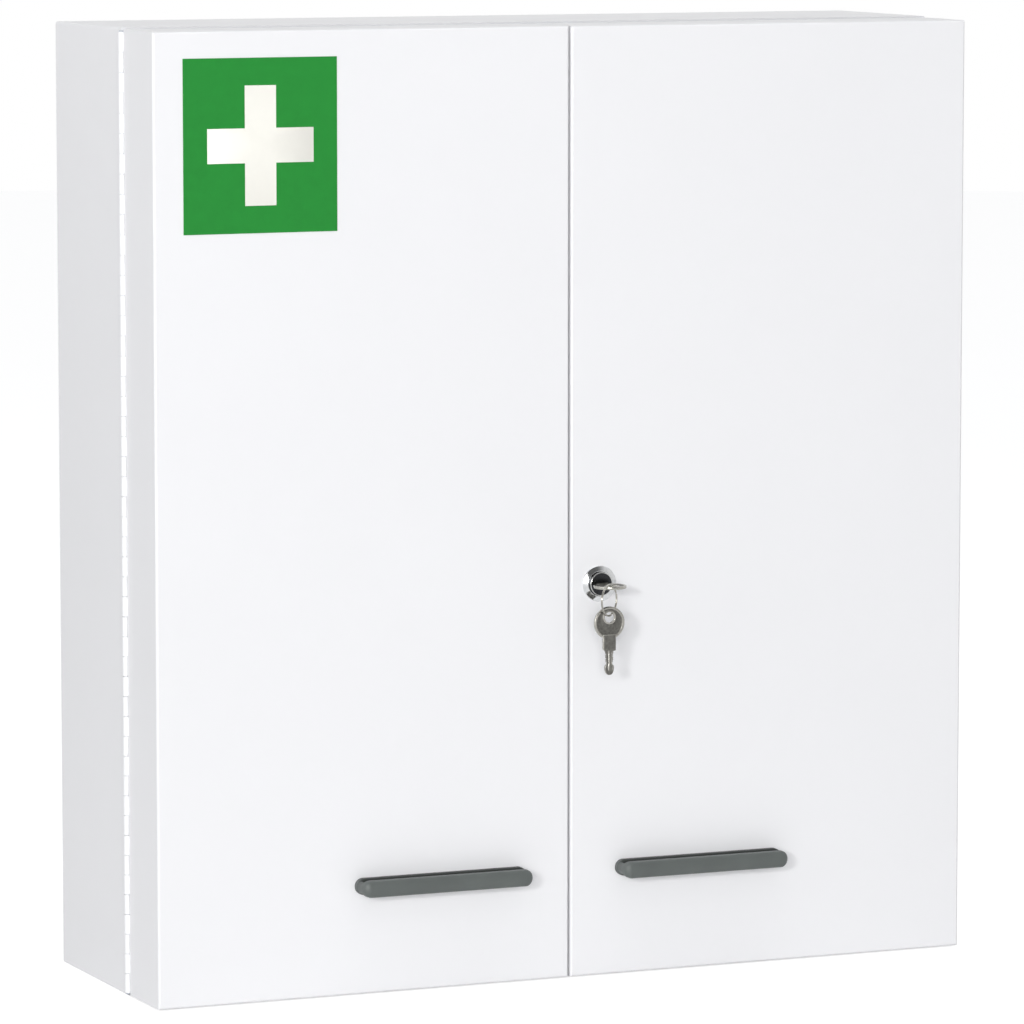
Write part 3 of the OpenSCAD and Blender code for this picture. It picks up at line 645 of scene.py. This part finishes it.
class CABINET_OT_lock(Operator):
    """Turns the lock's flange with its threaded barrel, and the plug with its keyway"""

    bl_idname = "cabinet.lock"
    bl_label = "Lock"

    def execute(self, context):
        settings = context.scene.cabinet_finish
        chrome = turned_metal("lock_chrome", tuple(settings.chrome), 0.05, 0.13, LOCK_POS, 0.35 * MM)
        shape = context.scene.cabinet_lock
        # the plug's rounded edge gets a painted highlight, a bright grey ring
        rim_highlight = (shape.head_radius - 0.5 * MM, shape.head_radius - 0.2 * MM)
        black = turned_metal("lock_plug_black", tuple(settings.plug), 0.12, 0.24, LOCK_POS, 0.25 * MM, rim_highlight)
        for node, surface, finish, slot, body in (
                ("lock_housing", housing_surface(shape), chrome, "lock_chrome", "right_door"),
                ("lock_plug", plug_surface(shape), black, "lock_plug_black", "lock_plug")):
            piece = make_piece(node + "_turned", [surface], sharp=40)
            dress(piece, finish)
            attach(piece, body)
            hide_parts(node)
        dress(finished_copy("lock_nut", 0.3 * MM), chrome)
        return {"FINISHED"}


def on_lock(x, out, z):
    """Points given across, out of the door and upwards from the lock's middle on the door."""
    return np.stack([LOCK_POS[0] + x, LOCK_POS[1] - out, LOCK_POS[2] + z], axis=-1)


def housing_surface(settings):
    """A closed profile turned round the lock's axis. A point is the profile's radius times the
    cosine and sine of the turn. On the barrel X is held between the two flats, and the radius
    rises and falls along it with the cosine of the depth over the thread's pitch."""
    clear, thread_depth = 0.06 * MM, 0.3 * MM
    bore, head = settings.plug_radius + clear, settings.head_radius + clear
    barrel, edge, rim = settings.barrel_radius, settings.flange_radius, settings.rim
    back = -settings.barrel_length
    seat, rim_width, broken_edge = 0.9 * MM, 0.62 * MM, 0.14 * MM
    front = rounded([(bore, back), (bore, seat), (head, seat), (head, rim), (head + rim_width, rim),
                     (edge - 0.3 * MM, 1.0 * MM), (edge, 0.72 * MM), (edge, 0), (barrel - thread_depth, 0)],
                    broken_edge, 5)
    depth = np.linspace(-1.2 * MM, back + 0.5 * MM, 150)
    thread = barrel - thread_depth + thread_depth * np.cos(2 * np.pi * depth / settings.thread)
    profile = np.concatenate([front, np.stack([thread, depth], axis=1),
                              [(barrel - 2 * thread_depth, back + 0.1 * MM),
                               (barrel - 3 * thread_depth, back)]])
    held = (np.arange(len(profile)) >= len(front) - 1)[:, None]
    turn = np.linspace(0, 2 * np.pi, 145)[:-1]
    x = profile[:, :1] * np.cos(turn)
    z = profile[:, :1] * np.sin(turn)
    x = np.where(held, np.clip(x, -settings.flats / 2, settings.flats / 2), x)
    return on_lock(x, profile[:, 1:] + 0 * x, z), True, True


def plug_surface(settings):
    """One surface from the keyway's floor to the screw hole at the back. An outline is a rectangle,
    its half sizes times the cosine and sine of the turn held at the corners, or a circle."""
    turn = np.linspace(0, 2 * np.pi, 145)[:-1]
    held_cos = np.clip(math.sqrt(2) * np.cos(turn), -1, 1)
    held_sin = np.clip(math.sqrt(2) * np.sin(turn), -1, 1)

    def rectangle(half_x, half_z, out):
        return on_lock(half_x * held_cos, out + 0 * turn, half_z * held_sin)

    def circle(radius, out):
        return on_lock(radius * np.cos(turn), out + 0 * turn, radius * np.sin(turn))

    face, head, barrel = settings.plug_face, settings.head_radius, settings.plug_radius
    tall, neck, blade, mouth = 1.15 * MM, 4.5 * MM, 3.2 * MM, 0.15 * MM
    floor, shoulder = face - 20.8 * MM, face - 7.8 * MM
    rows = [rectangle(0, 0, floor), rectangle(blade, tall, floor), rectangle(blade, tall, shoulder),
            rectangle(neck, tall, shoulder), rectangle(neck, tall, face - mouth),
            rectangle(neck + mouth, tall + mouth, face)]
    edge, seat = 0.5 * MM, 1.1 * MM
    rows += [circle(radius, face) for radius in (0.75 * head, 0.86 * head)]
    rows += [circle(head - edge + edge * math.sin(bend), face - edge + edge * math.cos(bend))
             for bend in np.linspace(0, np.pi / 2, 9)]
    back = -settings.barrel_length - 0.3 * MM
    tenon, tenon_end, hole, hole_floor = 3.5 * MM, back - 2.3 * MM, 1.95 * MM, back + 2.3 * MM
    rows += [circle(head, seat), circle(barrel, seat), circle(barrel, back), rectangle(tenon, tenon, back),
             rectangle(tenon, tenon, tenon_end + 0.2 * MM),
             rectangle(tenon - 0.2 * MM, tenon - 0.2 * MM, tenon_end),
             circle(hole, tenon_end), circle(hole, hole_floor), circle(0, hole_floor)]
    return np.stack(rows), False, True


class CABINET_OT_keys(Operator):
    """Builds the two keys: an eccentric ring for the bow, and a swept neck and blade"""

    bl_idname = "cabinet.keys"
    bl_label = "Keys"

    def execute(self, context):
        settings = context.scene.cabinet_key
        nickel = key_nickel(tuple(context.scene.cabinet_finish.nickel))
        flat = np.eye(3)
        hanging = np.array([[1, 0, 0], [0, 0, -1], [0, 1, 0]], float)
        for node, body, axes in (("inserted_key", "key", flat), ("spare_key", "spare_key", hanging)):
            low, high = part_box(node)
            centre = middle(node)
            if node == "inserted_key":
                centre[1] = low.y + settings.bow_radius
            else:
                centre[2] = high.z - settings.bow_radius
            patches, marks = key_surfaces(settings)
            placed = [(points @ axes + centre, rows, columns) for points, rows, columns in patches]
            piece = make_piece(node + "_cut", placed, sharp=28, attribute=("recess", marks))
            dress(piece, nickel)
            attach(piece, body)
            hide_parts(node)
        return {"FINISHED"}


def key_surfaces(settings):
    """The key's two closed surfaces and each point's mark from 0 to 1: how deep it is in a recess, and on the
    blade also painted shade in the grooves and a painted highlight along one line.
    """
    bow, bow_mark = bow_surface(settings)
    blade, blade_mark = blade_surface(settings)
    return [bow, blade], [bow_mark, blade_mark]


def bow_surface(settings):
    """Circles whose centre, radius and height follow a section: round the hole they share the
    hole's centre, and round the rim the bow's centre. X is the radius times the sine of the turn,
    Y the centre plus the radius times its cosine, and Z the height. The last number of a row is
    how deep it lies in the recess. The bow is a little thinner than the neck that crosses it."""
    hole, bow, off = settings.hole_radius, settings.bow_radius, -settings.hole_offset
    half = settings.thickness / 2 - 0.03 * MM
    sunk, edge, collar, rim = 0.38 * MM, 0.18 * MM, hole + 0.85 * MM, bow - 1.15 * MM
    floor = half - sunk
    top = [(off, hole, half - 1.5 * edge, 0), (off, hole + 0.3 * edge, half - 0.5 * edge, 0),
           (off, hole + edge, half, 0), (off, collar, half, 0),
           (off, collar + 0.15 * MM, half - 0.05 * MM, 0.1),
           (off, collar + 0.35 * MM, floor + 0.05 * MM, 0.9),
           (off, collar + 0.45 * MM, floor, 1), (0, rim - 0.6 * MM, floor, 1),
           (0, rim - 0.45 * MM, floor + 0.06 * MM, 0.8), (0, rim - 0.2 * MM, half - 0.05 * MM, 0.1),
           (0, rim, half, 0), (0, bow - 0.35 * MM, half, 0),
           (0, bow - 0.12 * MM, half - 0.1 * MM, 0), (0, bow, half - sunk, 0)]
    rows = np.array(top + [(c, r, -h, m) for c, r, h, m in reversed(top)])
    turn = np.linspace(0, 2 * np.pi, 97)[:-1]
    centre, radius, height, mark = (rows[:, i][:, None] for i in range(4))
    x = radius * np.sin(turn)
    y = centre + radius * np.cos(turn)
    points = np.stack([x, y, height + 0 * x], axis=-1)
    return (points, True, True), (mark + 0 * x).ravel()


def bell(along, centre, width):
    """A smooth notch: one at its centre and falling to nothing a width away."""
    return np.exp(-((along - centre) / width) ** 2)


def step(along, start, end):
    """A smooth step from nothing at start to one at end."""
    s = np.clip((along - start) / (end - start), 0, 1)
    return s * s * (3 - 2 * s)


def blade_surface(settings):
    """Neck and blade as one section carried along Y. Each side's half width is the neck's, brought
    down to the blade's by a smooth step at the shoulder and to the waist's by another, less a bell
    at every cut. Past the waist it follows a leaf and then a round tip, both arcs of circles. The
    section is a flat bar with broken edges and two grooves in both faces. The mark is nothing on
    the edges, which handling has left bright, and low along one narrow line, a painted highlight;
    the grooves raise it, which is painted shade."""
    tip = settings.key_length - settings.bow_radius
    half = settings.thickness / 2
    neck, blade, bulb = settings.neck_width / 2, settings.blade_width / 2, settings.bulb_width / 2
    slope, slope_end, square, square_end = 15.8 * MM, 18.9 * MM, 17.3 * MM, 17.8 * MM
    waist, leaf_middle, leaf, tip_arc = 24.9 * MM, 28.5 * MM, 5.7 * MM, 3.6 * MM
    along = np.concatenate([np.linspace(settings.neck_start, tip - tip_arc, 190)[:-1],
                            tip - tip_arc * (1 - np.sin(np.linspace(0, 0.5, 26) * np.pi))])
    round_tip = np.sqrt(np.clip(tip_arc ** 2 - (along - tip + tip_arc) ** 2, 0, None))
    leaf_side = np.sqrt(np.clip(leaf ** 2 - (along - leaf_middle) ** 2, 0, None)) - (leaf - bulb)
    end = np.where(along > waist, np.minimum(leaf_side, round_tip), 0)

    first_cut, cut_pitch, cut_width, waist_half = slope_end + 0.8 * MM, 1.35 * MM, 0.4 * MM, 1.8 * MM
    depths = (0.45 * MM, 0.7 * MM, 0.35 * MM, 0.6 * MM)

    def side(shoulder, shoulder_end, cuts):
        width = neck - (neck - blade) * step(along, shoulder, shoulder_end)
        for index, depth in enumerate(cuts):
            width = width - depth * bell(along, first_cut + cut_pitch * index, cut_width)
        width = width - (blade - waist_half) * step(along, waist - 1.1 * MM, waist)
        width = np.where(along > leaf_middle, 0, width)
        return np.maximum(width, end)

    right = side(square, square_end, depths)
    left = side(slope, slope_end, depths[::-1])
    across = np.linspace(-1, 1, 41)
    edge = np.clip((np.abs(across) - 0.86) / 0.14, 0, 1)
    lift = half * (1 - 0.3 * edge ** 2)
    groove = bell(across, -0.48, 0.26) + 0.6 * bell(across, 0.5, 0.12)
    cut = step(along, slope_end - 2.4 * MM, slope_end - 0.6 * MM)
    cut = cut * (1 - step(along, tip - 3.6 * MM, tip - 2 * MM))
    spread = np.where(across < 0, across * left[:, None], across * right[:, None])
    groove_depth, point = 0.3 * MM, 0.9 * MM
    depth = groove_depth * groove[None, :] * cut[:, None]
    thin = np.sqrt(np.clip(1 - np.clip((along - tip + point) / point, 0, 1) ** 2, 0.2, 1))
    height = (lift[None, :] - depth) * thin[:, None]
    y = along[:, None] + 0 * spread
    upper = np.stack([spread, y, height], axis=-1)
    lower = np.stack([spread, y, -height], axis=-1)[:, ::-1]
    tube = np.concatenate([upper, lower], axis=1)
    middle_line = tube.mean(axis=1, keepdims=True)
    first = np.repeat(middle_line[:1], tube.shape[1], axis=1)
    last = np.repeat(middle_line[-1:], tube.shape[1], axis=1)
    # painted highlight: the mark is lowered along one narrow line of the blade's face, so it renders bright
    ridge_highlight = bell(across, -0.22, 0.16)[None, :] * cut[:, None]
    flats = step(along, settings.neck_start, settings.neck_start + 0.7 * MM)[:, None]
    flats = flats * (1 - edge ** 2 * (1 - 0.7 * cut[:, None]))
    # the grooves raise the mark: painted shade in them
    mark = flats * (0.9 - 0.2 * cut[:, None]) * (1 - ridge_highlight) + 0.3 * groove[None, :] * cut[:, None]
    ends = np.zeros((1, tube.shape[1]))
    marks = np.concatenate([ends, np.concatenate([mark, mark[:, ::-1]], axis=1), ends])
    return (np.concatenate([first, tube, last]), False, True), marks.ravel()


class CABINET_OT_key_ring(Operator):
    """Winds the split ring in two turns of flat wire"""

    bl_idname = "cabinet.key_ring"
    bl_label = "Key ring"

    def execute(self, context):
        settings = context.scene.cabinet_key
        piece = make_piece("split_ring", [ring_surface(settings)], sharp=60)
        steel = turned_metal("ring_steel", tuple(context.scene.cabinet_finish.nickel), 0.10, 0.2,
                             middle("key_ring"), 0.3 * MM)
        dress(piece, steel)
        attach(piece, "key_ring")
        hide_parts("key_ring")
        return {"FINISHED"}


def ring_surface(settings):
    """A flat wire carried along two close turns. The wire's section is a squared-off
    ellipse: each coordinate is the cosine or sine of the turn raised to the power 0.8. Each turn
    lies in its own plane, and one smooth step leads from the first turn to the second."""
    gap = 0.06
    turns = np.linspace(gap, 4 * np.pi - gap, 289)
    around = np.linspace(0, 2 * np.pi, 17)[:-1]
    wide, thick = 0.52 * MM, 0.28 * MM

    def squared(value):
        return np.sign(value) * np.abs(value) ** 0.8

    out = wide * squared(np.cos(around))
    side = thick * squared(np.sin(around))
    layer, reach = 0.27 * MM, 0.35
    rise = layer * (2 * step(turns, 2 * np.pi - reach, 2 * np.pi + reach) - 1)
    close = np.sqrt(np.clip(np.minimum(turns - turns[0], turns[-1] - turns) / 0.03, 0, 1))
    radius = settings.ring_radius + out[None, :] * close[:, None]
    start = math.radians(20)
    y = radius * np.cos(turns + start)[:, None]
    z = radius * np.sin(turns + start)[:, None]
    x = rise[:, None] + side[None, :] * close[:, None]
    turn = settings.ring_turn
    centre = middle("key_ring")
    placed = np.stack([x * math.cos(turn) - y * math.sin(turn),
                       x * math.sin(turn) + y * math.cos(turn), z], axis=-1)
    return placed + centre, False, True


# ---------------------------------------------------------------- stage


class CABINET_OT_stage(Operator):
    """Sets the floor, the lamps, the surroundings and the camera"""

    bl_idname = "cabinet.stage"
    bl_label = "Stage"

    def execute(self, context):
        settings = context.scene.cabinet_stage
        make_floor(settings)
        make_lamps(settings)
        make_surroundings(settings)
        make_camera(settings)
        context.scene.view_settings.view_transform = "Standard"
        return {"FINISHED"}


def make_floor(settings):
    """A wide level disc under the cabinet: its rows are circles of growing radius. Where it is
    seen, and less where it is mirrored, it glows as well, and so it reads as white with a shadow."""
    radius = np.array([0.0, 0.5, 2.0, 8.0])[:, None]
    turn = np.linspace(0, 2 * np.pi, 65)[None, :-1]
    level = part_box("body_shell")[0].z
    points = np.stack([radius * np.cos(turn), radius * np.sin(turn), level + 0 * radius * turn], axis=-1)
    floor = make_piece("floor", [(points, False, True)])
    finish = Finish("floor")
    finish.set(Roughness=0.9, Specular_IOR_Level=0.1)
    clouds = finish.noise(3.0, detail=2.0)
    pale = tuple(settings.floor)
    base = finish.blend(finish.span(clouds, 0.3, 0.7, 0.0, 1.0), shade(pale, 0.99), pale)
    finish.end(base)
    glow = finish.add("ShaderNodeEmission")
    glow.inputs["Strength"].default_value = settings.floor_glow
    seen = finish.add("ShaderNodeLightPath")
    mirror = finish.math("MAXIMUM", seen.outputs["Is Glossy Ray"], seen.outputs["Is Transmission Ray"])
    share = finish.math("MAXIMUM", seen.outputs["Is Camera Ray"], finish.math("MULTIPLY", mirror, 0.4))
    both = finish.add("ShaderNodeAddShader")
    pick = finish.add("ShaderNodeMixShader")
    finish.join(finish.shader.outputs[0], both.inputs[0])
    finish.join(glow.outputs[0], both.inputs[1])
    finish.join(share, pick.inputs["Fac"])
    finish.join(finish.shader.outputs[0], pick.inputs[1])
    finish.join(both.outputs[0], pick.inputs[2])
    output = next(node for node in finish.tree.nodes if node.type == "OUTPUT_MATERIAL")
    finish.join(pick.outputs[0], output.inputs["Surface"])
    floor.data.materials.append(finish.material)


def lamp(name, power, width, height, place, aim):
    """A rectangular area lamp turned towards a point."""
    light = bpy.data.lights.new(name, "AREA")
    light.shape = "RECTANGLE"
    light.size = width
    light.size_y = height
    light.energy = power
    holder = bpy.data.objects.new(name, light)
    bpy.context.scene.collection.objects.link(holder)
    look_at(holder, place, aim)


def look_at(holder, place, aim):
    """Turns an object's -Z towards a point, with its Y upwards."""
    direction = Vector(aim) - Vector(place)
    holder.location = place
    holder.rotation_euler = direction.to_track_quat("-Z", "Y").to_euler()


def make_lamps(settings):
    """A small lamp on the left casts the soft shadows, and broad ones fill front, side and top."""
    aim = (0, -0.1, 0)
    lamp("key_lamp", settings.key_power, 0.58, 0.58, (-3.56, -4.15, 1.08), aim)
    lamp("fill_lamp", settings.fill_power, 2.56, 2.24, (-2.27, -5.22, 0.72), aim)
    lamp("side_lamp", settings.side_power, 2.0, 2.0, (-3.0, -0.6, 0.3), aim)
    lamp("top_lamp", settings.top_power, 1.6, 1.2, (0.1, -0.3, 2.0), aim)


def make_surroundings(settings):
    """A pale room: even light on the cabinet, plain white where it is seen, and, where it is
    mirrored, greyer towards the front, with one soft dark spot high in front of the doors."""
    world = bpy.data.worlds.new("studio")
    bpy.context.scene.world = world
    world.use_nodes = True
    tree = world.node_tree
    join = tree.links.new

    def span(value, interpolation, *ends):
        node = tree.nodes.new("ShaderNodeMapRange")
        node.interpolation_type = interpolation
        for key, number in zip(("From Min", "From Max", "To Min", "To Max"), ends):
            node.inputs[key].default_value = number
        join(value, node.inputs["Value"])
        return node.outputs["Result"]

    def combine(operation, first, second):
        node = tree.nodes.new("ShaderNodeMath")
        node.operation = operation
        join(first, node.inputs[0])
        join(second, node.inputs[1])
        return node.outputs[0]

    def choose(factor, first, second):
        node = tree.nodes.new("ShaderNodeMixShader")
        join(factor, node.inputs["Fac"])
        join(first.outputs[0], node.inputs[1])
        join(second.outputs[0], node.inputs[2])
        return node

    even = tree.nodes["Background"]
    even.inputs["Color"].default_value = (0.97, 0.98, 1.0, 1.0)
    even.inputs["Strength"].default_value = settings.ambient
    seen, mirrored = (tree.nodes.new("ShaderNodeBackground") for _ in range(2))
    for node in (seen, mirrored):
        node.inputs["Color"].default_value = (1.0, 1.0, 1.0, 1.0)
        node.inputs["Strength"].default_value = settings.backdrop

    direction = tree.nodes.new("ShaderNodeTexCoord").outputs["Generated"]
    split = tree.nodes.new("ShaderNodeSeparateXYZ")
    join(direction, split.inputs[0])
    depth = span(split.outputs["Y"], "LINEAR", -0.95, 0.0, 0.6, 1.0)
    near = tree.nodes.new("ShaderNodeVectorMath")
    near.operation = "DOT_PRODUCT"
    near.inputs[1].default_value = (-0.02, -0.87, 0.49)
    join(direction, near.inputs[0])
    spot = span(near.outputs["Value"], "SMOOTHSTEP", 0.78, 0.97, 1.0, 0.22)
    join(combine("MULTIPLY", depth, spot), mirrored.inputs["Strength"])

    path = tree.nodes.new("ShaderNodeLightPath").outputs
    mirror = combine("MAXIMUM", path["Is Glossy Ray"], path["Is Transmission Ray"])
    shown = choose(path["Is Camera Ray"], choose(mirror, even, mirrored), seen)
    join(shown.outputs[0], tree.nodes["World Output"].inputs["Surface"])


def make_camera(settings):
    """The camera stands at the photographed azimuth and elevation from its target."""
    lens = bpy.data.cameras.new("camera")
    lens.lens = settings.focal
    lens.sensor_width = 36.0
    lens.clip_end = 50.0
    camera = bpy.data.objects.new("camera", lens)
    bpy.context.scene.collection.objects.link(camera)
    bpy.context.scene.camera = camera
    level = settings.distance * math.cos(settings.elevation)
    target = settings.target
    place = (target[0] + level * math.sin(settings.azimuth), target[1] - level * math.cos(settings.azimuth),
             target[2] + settings.distance * math.sin(settings.elevation))
    look_at(camera, place, tuple(target))


# ---------------------------------------------------------------- panel and run


class CABINET_PT_panel(Panel):
    """Lists the cabinet's pieces and settings"""

    bl_idname = "CABINET_PT_panel"
    bl_label = "Medicine cabinet"
    bl_space_type = "VIEW_3D"
    bl_region_type = "UI"
    bl_category = "Cabinet"

    def draw(self, context):
        for group in SETTINGS:
            box = self.layout.box()
            box.label(text=group.__doc__)
            for name in group.__annotations__:
                box.prop(getattr(context.scene, SETTINGS[group]), name)
        for operator in OPERATORS:
            self.layout.operator(operator.bl_idname)


SETTINGS = {
    FinishSettings: "cabinet_finish",
    SignSettings: "cabinet_sign",
    LockSettings: "cabinet_lock",
    KeySettings: "cabinet_key",
    HandleSettings: "cabinet_handle",
    StageSettings: "cabinet_stage",
}
OPERATORS = (
    CABINET_OT_stage,
    CABINET_OT_steel,
    CABINET_OT_small_parts,
    CABINET_OT_handles,
    CABINET_OT_sign,
    CABINET_OT_lock,
    CABINET_OT_keys,
    CABINET_OT_key_ring,
)


def register():
    """Registers the settings, the operators and the panel."""
    for group, name in SETTINGS.items():
        bpy.utils.register_class(group)
        setattr(bpy.types.Scene, name, PointerProperty(type=group))
    for operator in OPERATORS:
        bpy.utils.register_class(operator)
    bpy.utils.register_class(CABINET_PT_panel)


def unregister():
    """Removes them again, in the opposite order."""
    bpy.utils.unregister_class(CABINET_PT_panel)
    for operator in reversed(OPERATORS):
        bpy.utils.unregister_class(operator)
    for group, name in reversed(SETTINGS.items()):
        delattr(bpy.types.Scene, name)
        bpy.utils.unregister_class(group)


def main():
    """Builds everything in order."""
    register()
    for operator in OPERATORS:
        area, name = operator.bl_idname.split(".")
        getattr(getattr(bpy.ops, area), name)()


if __name__ == "__main__":
    main()
